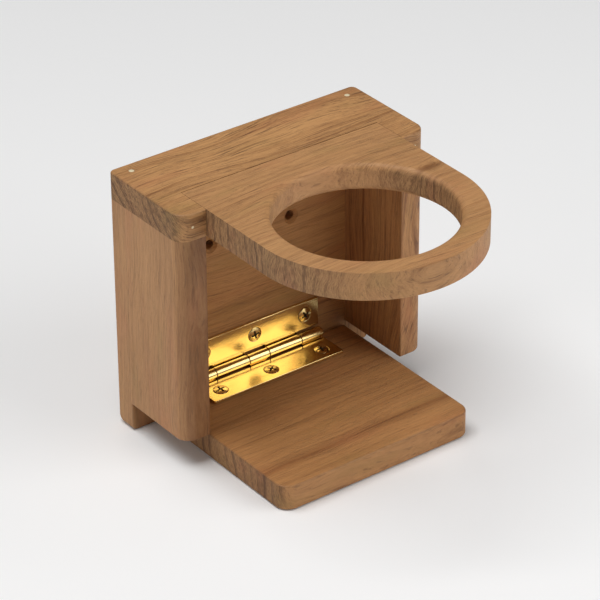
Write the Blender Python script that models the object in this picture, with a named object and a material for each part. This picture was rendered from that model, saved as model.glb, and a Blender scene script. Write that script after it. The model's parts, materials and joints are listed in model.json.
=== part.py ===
"""Fold-away teak cup holder for a wall: a case, a swing-down cup ring and a drop shelf on a brass butt hinge.

Frame: the origin is on the wall plane, midway between the two wall screw holes.
+X is to the right, -Y comes out of the wall towards the user, +Z is up.
Rest is the holder in use: the ring level at the top, the shelf level at the bottom.
"""
import math

import bmesh
import bpy
from mathutils import Matrix, Vector

MM = 0.001

# ---- Driving dimensions, in millimetres ----------------------------------------------------------
CASE_WIDTH = 120.0
CASE_DEPTH = 48.0
SIDE_DROP = 102.0            # top face down to the side panels' lower edge
FOOT_DROP = 114.5            # top face down to the back panel's lower end and the side panels' feet
TOP_THICKNESS = 11.6
SIDE_THICKNESS = 12.4
BACK_THICKNESS = 11.0

RING_HOLE_DIAMETER = 72.6
RING_REACH = 132.8           # wall to the ring's front edge
SHELF_THICKNESS = 11.0
SHELF_DROP = 103.2           # top face down to the shelf's upper face
SHELF_REACH = 95.4           # wall to the shelf's front edge

WALL_HOLE_DROP = 42.5        # top face down to the wall screw holes, and to the origin
WALL_HOLE_SPACING = 40.0
WALL_HOLE_DIAMETER = 4.2
WALL_HOLE_SINK_DIAMETER = 6.8

FRONT_CORNER_RADIUS = 6.0
BACK_CORNER_RADIUS = 2.5
FOOT_CORNER_RADIUS = 3.5
EDGE_EASE = 0.6
RING_HOLE_EASE = 2.8         # round the hole's rims, above and below
SHARP_ANGLE = 50.0           # degrees; edges that turn more than this are eased

# ---- Clearances ----------------------------------------------------------------------------------
SEAT_GAP = 0.3               # between pieces that touch
RING_SIDE_GAP = 0.4          # between the ring and the notch, each side
SHELF_SIDE_GAP = 0.8         # between the shelf and the side panels, each side
FOLDED_GAP = 4.2             # between the folded shelf and the ring that hangs in front of it
RUNNING_GAP = 0.1            # round a pin that turns
PRESSED_GAP = 0.15           # round a pin, nail or screw that is fixed
BLIND_END_GAP = 0.5          # past the end of a pin, nail or screw in a blind hole

# ---- Brass ---------------------------------------------------------------------------------------
HINGE_LENGTH = 65.0
LEAF_REACH = 16.0            # hinge axis to a leaf's far edge
LEAF_THICKNESS = 1.2
KNUCKLE_RADIUS = 2.5
KNUCKLE_JOINTS = (5.05, 21.6)    # where knuckles meet, each side of the middle
KNUCKLE_GAP = 0.3
KNUCKLE_SEAM_ANGLE = 20.0    # degrees left open where the rolled strip ends
SLOT_CLEARANCE = 0.7         # from a knuckle to the leaf edge behind it

SCREW_SPACING = 25.5
SCREW_SETBACK = 10.0         # hinge axis to the screws
SCREW_HEAD_RADIUS = 3.1
SCREW_HEAD_DOME = 0.55
SCREW_HEAD_SINK = 1.6
SCREW_RIM_DEPTH = 0.15
SCREW_RIM_TAPER = 0.1
SCREW_SHANK_RADIUS = 1.35
SCREW_LENGTH = 9.2           # from the head's rim to the point
SCREW_POINT_LENGTH = 2.4
RECESS_LENGTH = 3.4
RECESS_WIDTH = 0.8
RECESS_DEPTH = 1.5

PIVOT_RADIUS = 1.5
PIVOT_IN_EAR = 8.0
PIVOT_IN_RING = 8.0

NAIL_RADIUS = 1.1
TOP_NAIL_INSET = 7.3         # from the case's side to each nail in the top
TOP_NAIL_LENGTH = 26.0
LOCK_NAIL_RADIUS = 0.6

ROUND_SIDES = 24
NAIL_SIDES = 16
RING_SIDES = 72
CORNER_STEPS = 5
DOME_STEPS = 4
CUT_OVER = 1.0               # how far a cutter stands out of the surface that it enters
RIM_STOP = 8.0               # degrees short of flat where a cutter's rounded rim ends

# ---- Places that follow from them ----------------------------------------------------------------
TOP = WALL_HOLE_DROP
TOP_UNDERSIDE = TOP - TOP_THICKNESS
CASE_HALF = CASE_WIDTH / 2
INNER_HALF = CASE_HALF - SIDE_THICKNESS
BACK_FRONT = -BACK_THICKNESS
FOOT_BOTTOM = TOP - FOOT_DROP

SHELF_TOP = TOP - SHELF_DROP
SHELF_HALF = INNER_HALF - SHELF_SIDE_GAP
SHELF_BACK = BACK_FRONT - SEAT_GAP
HINGE_OFFSET = KNUCKLE_RADIUS + SEAT_GAP
HINGE_Y = BACK_FRONT - HINGE_OFFSET
HINGE_Z = SHELF_TOP + HINGE_OFFSET
HINGE_HALF = HINGE_LENGTH / 2
EYE_RADIUS = KNUCKLE_RADIUS - LEAF_THICKNESS
HINGE_PIN_RADIUS = EYE_RADIUS - RUNNING_GAP

RING_HALF = INNER_HALF - RING_SIDE_GAP
RING_CENTRE = RING_HALF - RING_REACH
TONGUE_BACK = BACK_FRONT - 2 * HINGE_OFFSET - SHELF_THICKNESS - FOLDED_GAP
NOTCH_BACK = TONGUE_BACK + RING_SIDE_GAP
PIVOT_Y = TONGUE_BACK - TOP_THICKNESS / 2
PIVOT_Z = TOP - TOP_THICKNESS / 2

SIDE_MIDDLE = CASE_HALF - SIDE_THICKNESS / 2
TOP_NAIL_X = CASE_HALF - TOP_NAIL_INSET
TOP_NAIL_Y = BACK_FRONT / 2
LOCK_NAIL_LENGTH = CASE_DEPTH + PIVOT_Y - PIVOT_RADIUS - SEAT_GAP
SCREW_PLACES = (-SCREW_SPACING, 0.0, SCREW_SPACING)


# ---- Helpers -------------------------------------------------------------------------------------
def clear_scene():
    for old in list(bpy.data.objects):
        bpy.data.objects.remove(old, do_unlink=True)


def make_material(name, colour, roughness, metallic=0.0):
    material = bpy.data.materials.new(name)
    material.use_nodes = True
    material.diffuse_color = (*colour, 1.0)
    shader = material.node_tree.nodes["Principled BSDF"]
    shader.inputs["Base Color"].default_value = (*colour, 1.0)
    shader.inputs["Roughness"].default_value = roughness
    shader.inputs["Metallic"].default_value = metallic
    return material


def arc(centre, radius, start, end, steps):
    """Points on a round corner, angles in degrees, both ends included."""
    points = []
    for step in range(steps + 1):
        angle = math.radians(start + (end - start) * step / steps)
        points.append((centre[0] + radius * math.cos(angle), centre[1] + radius * math.sin(angle)))
    return points


def rounded_corner(corner, inward, radius, start):
    """A quarter-round at a corner. inward is the sign of the way to the arc's centre on each axis."""
    centre = (corner[0] + inward[0] * radius, corner[1] + inward[1] * radius)
    return arc(centre, radius, start, start + 90, CORNER_STEPS)


def prism(outline, low, high, axes="XYZ"):
    """Extrudes an outline of its first two axes along the third, from low to high, in millimetres."""
    order = ["XYZ".index(axis) for axis in axes]

    def place(a, b, c):
        spot = [0.0, 0.0, 0.0]
        for index, value in zip(order, (a, b, c)):
            spot[index] = value * MM
        return spot

    shape = bmesh.new()
    face = shape.faces.new([shape.verts.new(place(a, b, low)) for a, b in outline])
    grown = bmesh.ops.extrude_face_region(shape, geom=[face])
    moved = [item for item in grown["geom"] if isinstance(item, bmesh.types.BMVert)]
    shift = Vector(place(0.0, 0.0, high)) - Vector(place(0.0, 0.0, low))
    bmesh.ops.translate(shape, verts=moved, vec=shift)
    bmesh.ops.recalc_face_normals(shape, faces=shape.faces)
    return shape


def turned(profile, sides=ROUND_SIDES):
    """Spins a (radius, height) profile, from axis to axis, round Z, in millimetres."""
    shape = bmesh.new()
    points = [shape.verts.new((radius * MM, 0.0, height * MM)) for radius, height in profile]
    edges = [shape.edges.new(pair) for pair in zip(points, points[1:])]
    bmesh.ops.spin(shape, geom=points + edges, cent=(0, 0, 0), axis=(0, 0, 1),
                   angle=math.tau, steps=sides, use_merge=True)
    bmesh.ops.remove_doubles(shape, verts=shape.verts, dist=1e-6)
    bmesh.ops.recalc_face_normals(shape, faces=shape.faces)
    return shape


def sharp_edges(shape):
    return [edge for edge in shape.edges if edge.calc_face_angle(0.0) > math.radians(SHARP_ANGLE)]


def ease_edges(shape, width, chosen=None, steps=1):
    """Bevels the sharp edges of a shape, or the chosen ones."""
    if chosen is None:
        chosen = sharp_edges(shape)
    bmesh.ops.bevel(shape, geom=chosen, offset=width * MM, offset_type="OFFSET", affect="EDGES",
                    segments=steps, profile=0.5, material=-1, clamp_overlap=True)


def edges_along(shape, axis, test):
    """Edges that run along an axis and whose middle passes a test in millimetres."""
    found = []
    for edge in shape.edges:
        run = (edge.verts[1].co - edge.verts[0].co).normalized()
        middle = (edge.verts[0].co + edge.verts[1].co) / 2 / MM
        if abs(run["XYZ".index(axis)]) > 0.99 and test(middle):
            found.append(edge)
    return found


def make_object(name, shape, material, smooth_angle=35.0):
    mesh = bpy.data.meshes.new(name)
    shape.to_mesh(mesh)
    shape.free()
    mesh.shade_smooth()
    mesh.set_sharp_from_angle(angle=math.radians(smooth_angle))
    mesh.materials.append(material)
    piece = bpy.data.objects.new(name, mesh)
    bpy.context.collection.objects.link(piece)
    return piece


def cut(piece, shape):
    """Takes a shape away from a piece through a Boolean that stays on it."""
    mesh = bpy.data.meshes.new(piece.name + "_cutter")
    shape.to_mesh(mesh)
    shape.free()
    cutter = bpy.data.objects.new(mesh.name, mesh)
    bpy.context.collection.objects.link(cutter)
    cutter.hide_render = True
    cutter.display_type = "WIRE"
    boolean = piece.modifiers.new("cut", "BOOLEAN")
    boolean.operation = "DIFFERENCE"
    boolean.solver = "EXACT"
    boolean.object = cutter
    return cutter


def aim(shape, place, direction):
    """Turns a shape that stands along +Z towards a direction, and moves it to a place in millimetres."""
    turn = Vector((0, 0, 1)).rotation_difference(Vector(direction)).to_matrix().to_4x4()
    bmesh.ops.transform(shape, matrix=Matrix.Translation(Vector(place) * MM) @ turn, verts=shape.verts)
    return shape


def rod(radius, low, high, sides=ROUND_SIDES):
    return turned([(0, low), (radius, low), (radius, high), (0, high)], sides)


def bore(radius, depth, mouth, direction):
    """A cutter for a round hole of that depth, from its mouth in a direction."""
    return aim(rod(radius, -CUT_OVER, depth), mouth, direction)


def is_outer(edge):
    """Whether an edge lies on the outer face of a side panel."""
    return min(abs(vert.co.x) for vert in edge.verts) > (CASE_HALF - EDGE_EASE) * MM


def is_at_front(edge):
    return max(vert.co.y for vert in edge.verts) < (EDGE_EASE - CASE_DEPTH) * MM


def is_at_back(edge):
    """Whether an edge runs down a side panel's back, or on under its foot."""
    behind = min(vert.co.y for vert in edge.verts) > -(FOOT_CORNER_RADIUS + EDGE_EASE) * MM
    under = max(vert.co.z for vert in edge.verts) < (FOOT_BOTTOM + EDGE_EASE) * MM
    at_top = min(vert.co.z for vert in edge.verts) > (TOP_UNDERSIDE - SEAT_GAP - EDGE_EASE) * MM
    return (behind or under) and not at_top


def set_origin(piece, place):
    """Puts a piece's origin at a place in millimetres without moving its shape."""
    origin = Vector(place) * MM
    piece.data.transform(Matrix.Translation(-origin))
    piece.location = origin


# ---- Wood ----------------------------------------------------------------------------------------
def make_top_board(wood):
    outline = rounded_corner((-CASE_HALF, 0), (1, -1), BACK_CORNER_RADIUS, 90)
    outline += rounded_corner((-CASE_HALF, -CASE_DEPTH), (1, 1), FRONT_CORNER_RADIUS, 180)
    outline += [(-INNER_HALF, -CASE_DEPTH), (-INNER_HALF, NOTCH_BACK)]
    outline += [(INNER_HALF, NOTCH_BACK), (INNER_HALF, -CASE_DEPTH)]
    outline += rounded_corner((CASE_HALF, -CASE_DEPTH), (-1, 1), FRONT_CORNER_RADIUS, 270)
    outline += rounded_corner((CASE_HALF, 0), (-1, -1), BACK_CORNER_RADIUS, 0)
    shape = prism(outline, TOP_UNDERSIDE, TOP)
    ease_edges(shape, EDGE_EASE)
    board = make_object("top_board", shape, wood)
    for side in (-1, 1):
        pivot_mouth = (side * INNER_HALF, PIVOT_Y, PIVOT_Z)
        cut(board, bore(PIVOT_RADIUS + PRESSED_GAP, PIVOT_IN_EAR + BLIND_END_GAP, pivot_mouth, (side, 0, 0)))
        nail_mouth = (side * TOP_NAIL_X, TOP_NAIL_Y, TOP)
        cut(board, bore(NAIL_RADIUS + PRESSED_GAP, TOP_THICKNESS + CUT_OVER, nail_mouth, (0, 0, -1)))
        lock_mouth = (side * SIDE_MIDDLE, -CASE_DEPTH, PIVOT_Z)
        cut(board, bore(LOCK_NAIL_RADIUS + PRESSED_GAP, CASE_DEPTH + PIVOT_Y, lock_mouth, (0, 1, 0)))
    return board


def make_side_panel(side, name, wood):
    """A full-depth board that is cut short in front, which leaves a foot at the back."""
    high = TOP_UNDERSIDE - SEAT_GAP
    low = TOP - SIDE_DROP
    outline = [(-CASE_DEPTH, high), (-CASE_DEPTH, low), (BACK_FRONT, low), (BACK_FRONT, FOOT_BOTTOM)]
    outline += rounded_corner((0, FOOT_BOTTOM), (-1, 1), FOOT_CORNER_RADIUS, 270)
    outline += [(0, high)]
    inside, outside = sorted((side * INNER_HALF, side * CASE_HALF), key=abs)
    shape = prism(outline, inside, outside, "YZX")

    front = [edge for edge in shape.edges if is_outer(edge) and is_at_front(edge)]
    ease_edges(shape, FRONT_CORNER_RADIUS, front, CORNER_STEPS)
    behind = [edge for edge in shape.edges if is_outer(edge) and is_at_back(edge)]
    ease_edges(shape, BACK_CORNER_RADIUS, behind, CORNER_STEPS)
    ease_edges(shape, EDGE_EASE)
    panel = make_object(name, shape, wood)
    nail_mouth = (side * TOP_NAIL_X, TOP_NAIL_Y, high)
    nail_depth = TOP_NAIL_LENGTH - TOP_THICKNESS - SEAT_GAP + BLIND_END_GAP
    cut(panel, bore(NAIL_RADIUS + PRESSED_GAP, nail_depth, nail_mouth, (0, 0, -1)))
    return panel


def make_back_panel(wood):
    """A board that is glued between the side panels, flush with their backs and feet."""
    half = INNER_HALF - SEAT_GAP
    high = TOP_UNDERSIDE - SEAT_GAP
    outline = [(half, high), (-half, high), (-half, FOOT_BOTTOM), (half, FOOT_BOTTOM)]
    shape = prism(outline, BACK_FRONT, 0, "XZY")
    ease_edges(shape, EDGE_EASE)
    panel = make_object("back_panel", shape, wood)
    radius = WALL_HOLE_DIAMETER / 2
    sink_radius = WALL_HOLE_SINK_DIAMETER / 2
    hole = [(0, -CUT_OVER), (sink_radius + CUT_OVER, -CUT_OVER), (radius, sink_radius - radius)]
    hole += [(radius, BACK_THICKNESS + CUT_OVER), (0, BACK_THICKNESS + CUT_OVER)]
    for side in (-1, 1):
        cut(panel, aim(turned(hole), (side * WALL_HOLE_SPACING / 2, BACK_FRONT, 0), (0, 1, 0)))
    cut_pilot_holes(panel, BACK_FRONT, wall=True)
    return panel


def make_drop_shelf(wood):
    front = -SHELF_REACH
    outline = [(SHELF_HALF, SHELF_BACK), (-SHELF_HALF, SHELF_BACK)]
    outline += rounded_corner((-SHELF_HALF, front), (1, 1), FRONT_CORNER_RADIUS, 180)
    outline += rounded_corner((SHELF_HALF, front), (-1, 1), FRONT_CORNER_RADIUS, 270)
    shape = prism(outline, SHELF_TOP - SHELF_THICKNESS, SHELF_TOP)
    ease_edges(shape, EDGE_EASE)
    shelf = make_object("drop_shelf", shape, wood)
    cut_pilot_holes(shelf, SHELF_TOP, wall=False)
    set_origin(shelf, (0, HINGE_Y, HINGE_Z))
    return shelf


def cut_pilot_holes(board, face, wall):
    depth = SCREW_LENGTH - SEAT_GAP - LEAF_THICKNESS + BLIND_END_GAP
    sink = SCREW_HEAD_SINK - LEAF_THICKNESS
    radius = SCREW_SHANK_RADIUS + PRESSED_GAP
    profile = [(0, -CUT_OVER), (radius + sink + CUT_OVER, -CUT_OVER), (radius, sink)]
    profile += [(radius, depth), (0, depth)]
    for across in SCREW_PLACES:
        if wall:
            cut(board, aim(turned(profile), (across, face, HINGE_Z + SCREW_SETBACK), (0, 1, 0)))
        else:
            cut(board, aim(turned(profile), (across, HINGE_Y - SCREW_SETBACK, face), (0, 0, -1)))


def make_cup_ring(wood):
    centre = (0, RING_CENTRE)
    outline = [(RING_HALF, TONGUE_BACK), (-RING_HALF, TONGUE_BACK)]
    outline += arc(centre, RING_HALF, 180, 360, RING_SIDES // 2)
    shape = prism(outline, TOP_UNDERSIDE, TOP)
    heel = edges_along(shape, "X", lambda at: at.y > PIVOT_Y and at.z < PIVOT_Z)
    ease_edges(shape, TOP_THICKNESS / 2, heel, CORNER_STEPS)
    rims = [edge for edge in sharp_edges(shape) if max(v.co.y for v in edge.verts) < PIVOT_Y * MM]
    ease_edges(shape, EDGE_EASE, rims)
    ring = make_object("cup_ring", shape, wood)
    rim = RING_HOLE_DIAMETER / 2 + RING_HOLE_EASE
    lower = arc((rim, TOP_UNDERSIDE + RING_HOLE_EASE), RING_HOLE_EASE, 270 - RIM_STOP, 180, CORNER_STEPS)
    upper = arc((rim, TOP - RING_HOLE_EASE), RING_HOLE_EASE, 180, 90 + RIM_STOP, CORNER_STEPS)
    under = TOP_UNDERSIDE - CUT_OVER
    above = TOP + CUT_OVER
    hole = [(0, under), (lower[0][0], under)] + lower + upper + [(upper[-1][0], above), (0, above)]
    cut(ring, aim(turned(hole, RING_SIDES), (*centre, 0), (0, 0, 1)))
    for side in (-1, 1):
        mouth = (side * RING_HALF, PIVOT_Y, PIVOT_Z)
        cut(ring, bore(PIVOT_RADIUS + RUNNING_GAP, PIVOT_IN_RING + BLIND_END_GAP, mouth, (-side, 0, 0)))
    set_origin(ring, (0, PIVOT_Y, PIVOT_Z))
    return ring


# ---- Hinge ---------------------------------------------------------------------------------------
def leaf_profile():
    """A strip with its end rolled round the pin, seen along the pin: (along the leaf, off the board)."""
    eye = (0.0, KNUCKLE_RADIUS)
    seam = -KNUCKLE_SEAM_ANGLE
    outer = arc(eye, KNUCKLE_RADIUS, 270, seam, ROUND_SIDES)
    inner = arc(eye, EYE_RADIUS, seam, 270, ROUND_SIDES)
    return [(LEAF_REACH, 0)] + outer + inner + [(LEAF_REACH, LEAF_THICKNESS)]


def knuckle_spans(own):
    """The lengths of the pin that a leaf's own knuckles take, or the other leaf's."""
    inner, outer = KNUCKLE_JOINTS
    ends = HINGE_HALF + CUT_OVER
    if own:
        return [(-ends, -outer), (-inner, inner), (outer, ends)]
    return [(-outer, -inner), (inner, outer)]


def make_leaf(name, brass, shelf):
    """One leaf, modelled lying along -Y on a board at height zero with its knuckles at the origin's end."""
    shape = prism([(-u, v) for u, v in leaf_profile()], -HINGE_HALF, HINGE_HALF, "YZX")
    bmesh.ops.translate(shape, verts=shape.verts, vec=(0, 0, -KNUCKLE_RADIUS * MM))
    leaf = make_object(name, shape, brass)
    cutters = []
    reach = KNUCKLE_RADIUS + SLOT_CLEARANCE
    for low, high in knuckle_spans(own=not shelf):
        slot = [(-reach, -reach), (reach, -reach), (reach, reach), (-reach, reach)]
        cutters.append(cut(leaf, prism(slot, low - KNUCKLE_GAP / 2, high + KNUCKLE_GAP / 2, "YZX")))
    face = LEAF_THICKNESS - KNUCKLE_RADIUS
    for across in SCREW_PLACES:
        rim = SCREW_HEAD_RADIUS + PRESSED_GAP
        past = LEAF_THICKNESS + CUT_OVER
        hole = [(0, -CUT_OVER), (rim + CUT_OVER, -CUT_OVER), (rim - past, past), (0, past)]
        cutters.append(cut(leaf, aim(turned(hole), (across, -SCREW_SETBACK, face), (0, 0, -1))))
    place_on_hinge([leaf] + cutters, shelf)
    return leaf


def place_on_hinge(pieces, shelf):
    """Moves pieces from the leaf's own frame to the hinge. The wall leaf turns over to lie up the wall."""
    for piece in pieces:
        piece.location = Vector((0, HINGE_Y, HINGE_Z)) * MM
        if not shelf:
            piece.rotation_euler = (-math.pi / 2, 0, math.pi)


def make_hinge_pin(brass):
    end = HINGE_HALF - EDGE_EASE
    radius = HINGE_PIN_RADIUS
    profile = [(0, -HINGE_HALF), (radius - EDGE_EASE / 2, -HINGE_HALF), (radius, -end)]
    profile += [(radius, end), (radius - EDGE_EASE / 2, HINGE_HALF), (0, HINGE_HALF)]
    return make_object("hinge_pin", aim(turned(profile), (0, HINGE_Y, HINGE_Z), (1, 0, 0)), brass)


def screw_mesh(brass):
    """A raised countersunk wood screw that points down, its rim at height zero, with a cross recess."""
    dome = []
    dome_radius = (SCREW_HEAD_RADIUS ** 2 + SCREW_HEAD_DOME ** 2) / (2 * SCREW_HEAD_DOME)
    for step in range(DOME_STEPS):
        radius = SCREW_HEAD_RADIUS * step / DOME_STEPS
        dome.append((radius, SCREW_HEAD_DOME - dome_radius + math.sqrt(dome_radius ** 2 - radius ** 2)))
    profile = dome + [(SCREW_HEAD_RADIUS, 0), (SCREW_HEAD_RADIUS - SCREW_RIM_TAPER, -SCREW_RIM_DEPTH)]
    profile += [(SCREW_SHANK_RADIUS, -SCREW_HEAD_SINK - SCREW_RIM_DEPTH)]
    profile += [(SCREW_SHANK_RADIUS, SCREW_POINT_LENGTH - SCREW_LENGTH), (0, -SCREW_LENGTH)]
    screw = make_object("screw_blank", turned(profile), brass)
    long, wide = RECESS_LENGTH / 2, RECESS_WIDTH / 2
    cross = []
    for turn in range(4):
        for x, y in ((long, -wide), (long, wide), (wide, wide)):
            quarter = Matrix.Rotation(turn * math.pi / 2, 2) @ Vector((x, y))
            cross.append((quarter.x, quarter.y))
    recess = cut(screw, prism(cross, SCREW_HEAD_DOME - RECESS_DEPTH, SCREW_HEAD_DOME + CUT_OVER))
    graph = bpy.context.evaluated_depsgraph_get()
    mesh = bpy.data.meshes.new_from_object(screw.evaluated_get(graph))
    bpy.data.objects.remove(recess, do_unlink=True)
    bpy.data.objects.remove(screw, do_unlink=True)
    mesh.name = "countersunk_screw"
    return mesh


def make_screws(brass, shelf):
    mesh = screw_mesh(brass)
    prefix = "shelf_leaf_screw_" if shelf else "wall_leaf_screw_"
    rim = KNUCKLE_RADIUS - LEAF_THICKNESS
    for number, across in enumerate(SCREW_PLACES, start=1):
        screw = bpy.data.objects.new(prefix + str(number), mesh)
        bpy.context.collection.objects.link(screw)
        if shelf:
            screw.location = Vector((across, HINGE_Y - SCREW_SETBACK, HINGE_Z - rim)) * MM
        else:
            screw.rotation_euler = (math.pi / 2, 0, 0)
            screw.location = Vector((across, HINGE_Y + rim, HINGE_Z + SCREW_SETBACK)) * MM


# ---- Pins and nails ------------------------------------------------------------------------------
def make_pins(brass):
    for side, word in ((-1, "left"), (1, "right")):
        pivot = rod(PIVOT_RADIUS, -RING_SIDE_GAP - PIVOT_IN_RING, PIVOT_IN_EAR)
        pivot_mouth = (side * INNER_HALF, PIVOT_Y, PIVOT_Z)
        make_object("ring_pivot_pin_" + word, aim(pivot, pivot_mouth, (side, 0, 0)), brass)
        lock = rod(LOCK_NAIL_RADIUS, 0, LOCK_NAIL_LENGTH, NAIL_SIDES)
        lock_mouth = (side * SIDE_MIDDLE, -CASE_DEPTH, PIVOT_Z)
        make_object("pivot_lock_nail_" + word, aim(lock, lock_mouth, (0, 1, 0)), brass)
        nail = rod(NAIL_RADIUS, 0, TOP_NAIL_LENGTH, NAIL_SIDES)
        nail_mouth = (side * TOP_NAIL_X, TOP_NAIL_Y, TOP)
        make_object("top_nail_" + word, aim(nail, nail_mouth, (0, 0, -1)), brass)


def main():
    clear_scene()
    teak = make_material("oiled_teak", (0.36, 0.20, 0.105), 0.55)
    teak_end = make_material("oiled_teak_light", (0.43, 0.255, 0.14), 0.55)
    brass = make_material("polished_brass", (0.83, 0.60, 0.20), 0.18, 1.0)
    nail_brass = make_material("nail_brass", (0.78, 0.62, 0.33), 0.3, 1.0)

    make_top_board(teak_end)
    make_side_panel(-1, "left_side_panel", teak)
    make_side_panel(1, "right_side_panel", teak)
    make_back_panel(teak)
    make_drop_shelf(teak)
    make_cup_ring(teak_end)
    make_leaf("hinge_wall_leaf", brass, shelf=False)
    make_leaf("hinge_shelf_leaf", brass, shelf=True)
    make_hinge_pin(brass)
    make_screws(brass, shelf=False)
    make_screws(brass, shelf=True)
    make_pins(nail_brass)


main()
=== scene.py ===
# %% [markdown]
# # A fold-away cup holder in oiled teak and polished brass
#
# The object is a small case that is screwed to a wall. A ring for the cup swings out of its top board, and a
# shelf drops out of its mouth on a brass butt hinge. This file makes the fine surface of every piece around a
# frame of plain solids that is already the right size, so the first job is to load that frame and read sizes
# from it.

# %% Load the frame and read its sizes
import json
import math

import bmesh
import bpy
from mathutils import Matrix, Vector


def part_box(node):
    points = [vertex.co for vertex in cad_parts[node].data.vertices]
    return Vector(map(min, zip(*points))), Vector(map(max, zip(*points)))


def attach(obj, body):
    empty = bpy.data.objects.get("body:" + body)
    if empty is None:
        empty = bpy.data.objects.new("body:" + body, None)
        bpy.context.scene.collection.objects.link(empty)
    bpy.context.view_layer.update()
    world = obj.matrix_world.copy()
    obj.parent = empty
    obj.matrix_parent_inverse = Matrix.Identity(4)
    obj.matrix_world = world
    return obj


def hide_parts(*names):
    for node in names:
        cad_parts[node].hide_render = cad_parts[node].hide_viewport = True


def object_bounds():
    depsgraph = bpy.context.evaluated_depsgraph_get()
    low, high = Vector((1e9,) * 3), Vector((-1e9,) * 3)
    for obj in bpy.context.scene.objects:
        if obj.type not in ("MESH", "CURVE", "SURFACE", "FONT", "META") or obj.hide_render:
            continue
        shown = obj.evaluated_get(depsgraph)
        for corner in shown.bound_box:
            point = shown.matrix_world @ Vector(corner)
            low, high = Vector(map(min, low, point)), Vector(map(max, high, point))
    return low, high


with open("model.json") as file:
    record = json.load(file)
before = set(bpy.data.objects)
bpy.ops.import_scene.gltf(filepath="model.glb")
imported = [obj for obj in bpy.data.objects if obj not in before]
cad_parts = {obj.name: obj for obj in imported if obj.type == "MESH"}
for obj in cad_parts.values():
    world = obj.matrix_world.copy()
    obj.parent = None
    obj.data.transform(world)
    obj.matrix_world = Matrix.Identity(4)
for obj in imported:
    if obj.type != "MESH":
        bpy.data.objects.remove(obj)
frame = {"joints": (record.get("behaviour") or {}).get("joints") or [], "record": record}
cad_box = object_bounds()
MM = 0.001
bodies = frame["record"]["behaviour"]["bodies"]
hinge_axis = Vector(next(j["pos_m"] for j in frame["joints"] if j["name"] == "shelf_fold"))
pivot_axis = Vector(next(j["pos_m"] for j in frame["joints"] if j["name"] == "ring_fold"))
size_mm = (cad_box[1] - cad_box[0]) / MM
print("the object measures", [round(side, 1) for side in size_mm], "mm")

# %% [markdown]
# ## Writing shader maths as expressions
#
# A material with real variation needs dozens of Math nodes, and a tree of them is hard to read. Here a socket
# is wrapped in a small class that overloads the arithmetic operators, so `1 - mask * 0.3` adds the nodes by
# itself. Every other node comes from one method that takes its type, its settings and what goes into its
# sockets.


# %% A socket that can be used in arithmetic
class Value:
    """An output socket. Arithmetic on it adds Math nodes to its material's tree."""

    def __init__(self, recipe, socket):
        self.recipe = recipe
        self.socket = socket

    def math(self, operation, *others):
        inputs = dict(enumerate((self, *others)))
        return self.recipe.add("ShaderNodeMath", {"operation": operation}, inputs)

    def math_after(self, operation, first):
        """The same, for a number that stands on the operator's left."""
        return self.recipe.add("ShaderNodeMath", {"operation": operation}, {0: first, 1: self})

    def __add__(self, other):
        return self.math("ADD", other)

    def __sub__(self, other):
        return self.math("SUBTRACT", other)

    def __rsub__(self, other):
        return self.math_after("SUBTRACT", other)

    def __mul__(self, other):
        return self.math("MULTIPLY", other)

    def __truediv__(self, other):
        return self.math("DIVIDE", other)

    def __rtruediv__(self, other):
        return self.math_after("DIVIDE", other)

    def __pow__(self, other):
        return self.math("POWER", other)

    def __rpow__(self, other):
        return self.math_after("POWER", other)

    def __abs__(self):
        return self.math("ABSOLUTE")

    __radd__ = __add__
    __rmul__ = __mul__

    def rise(self, low, high):
        """0 below low, 1 above high, and a smooth slope between."""
        settings = {"interpolation_type": "SMOOTHSTEP"}
        inputs = {"Value": self, "From Min": low, "From Max": high}
        return self.recipe.add("ShaderNodeMapRange", settings, inputs)


class Recipe:
    """A material while it is being made."""

    def __init__(self, name):
        self.material = bpy.data.materials.new(name)
        self.material.use_nodes = True
        self.tree = self.material.node_tree
        self.tree.nodes.clear()

    def add(self, kind, settings=None, inputs=None, output=0):
        """Adds one node: its settings first, then the values or links of its sockets. Returns one output."""
        node = self.tree.nodes.new(kind)
        for key, setting in (settings or {}).items():
            setattr(node, key, setting)
        for key, value in (inputs or {}).items():
            if isinstance(value, Value):
                self.tree.links.new(value.socket, node.inputs[key])
            else:
                node.inputs[key].default_value = value
        return Value(self, node.outputs[output]) if node.outputs else None

    def place(self, scale, turn=(0, 0, 0), shift=(0, 0, 0), start=None):
        """Object coordinates, or the given vector, scaled, turned and shifted."""
        start = start or self.add("ShaderNodeTexCoord", output="Object")
        inputs = {"Vector": start, "Scale": scale, "Rotation": turn, "Location": shift}
        return self.add("ShaderNodeMapping", None, inputs)

    def noise(self, vector, detail=2.0, roughness=0.5):
        """Smooth noise round 0.5. The vector's own scale says how fine it is."""
        inputs = {"Vector": vector, "Scale": 1.0, "Detail": detail, "Roughness": roughness}
        return self.add("ShaderNodeTexNoise", None, inputs)

    def mix(self, factor, first, second):
        """A blend of two colours."""
        inputs = {0: factor, 6: solid(first), 7: solid(second)}
        return self.add("ShaderNodeMix", {"data_type": "RGBA"}, inputs, output=2)

    def times(self, first, second):
        """One colour multiplied by another."""
        inputs = {0: 1.0, 6: solid(first), 7: solid(second)}
        return self.add("ShaderNodeMix", {"data_type": "RGBA", "blend_type": "MULTIPLY"}, inputs, output=2)

    def mark(self, name):
        """The value of an attribute of the mesh."""
        return self.add("ShaderNodeAttribute", {"attribute_name": name}, output="Fac")

    def finish(self, bump=None, bump_depth=0.0001, **sockets):
        """Closes the tree with a Principled shader."""
        shader_inputs = {name.replace("_", " "): value for name, value in sockets.items()}
        if bump is not None:
            bump_inputs = {"Height": bump, "Distance": bump_depth, "Strength": 1.0}
            shader_inputs["Normal"] = self.add("ShaderNodeBump", None, bump_inputs)
        shader = self.add("ShaderNodeBsdfPrincipled", None, shader_inputs)
        self.add("ShaderNodeOutputMaterial", None, {"Surface": shader})
        return self.material


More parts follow.
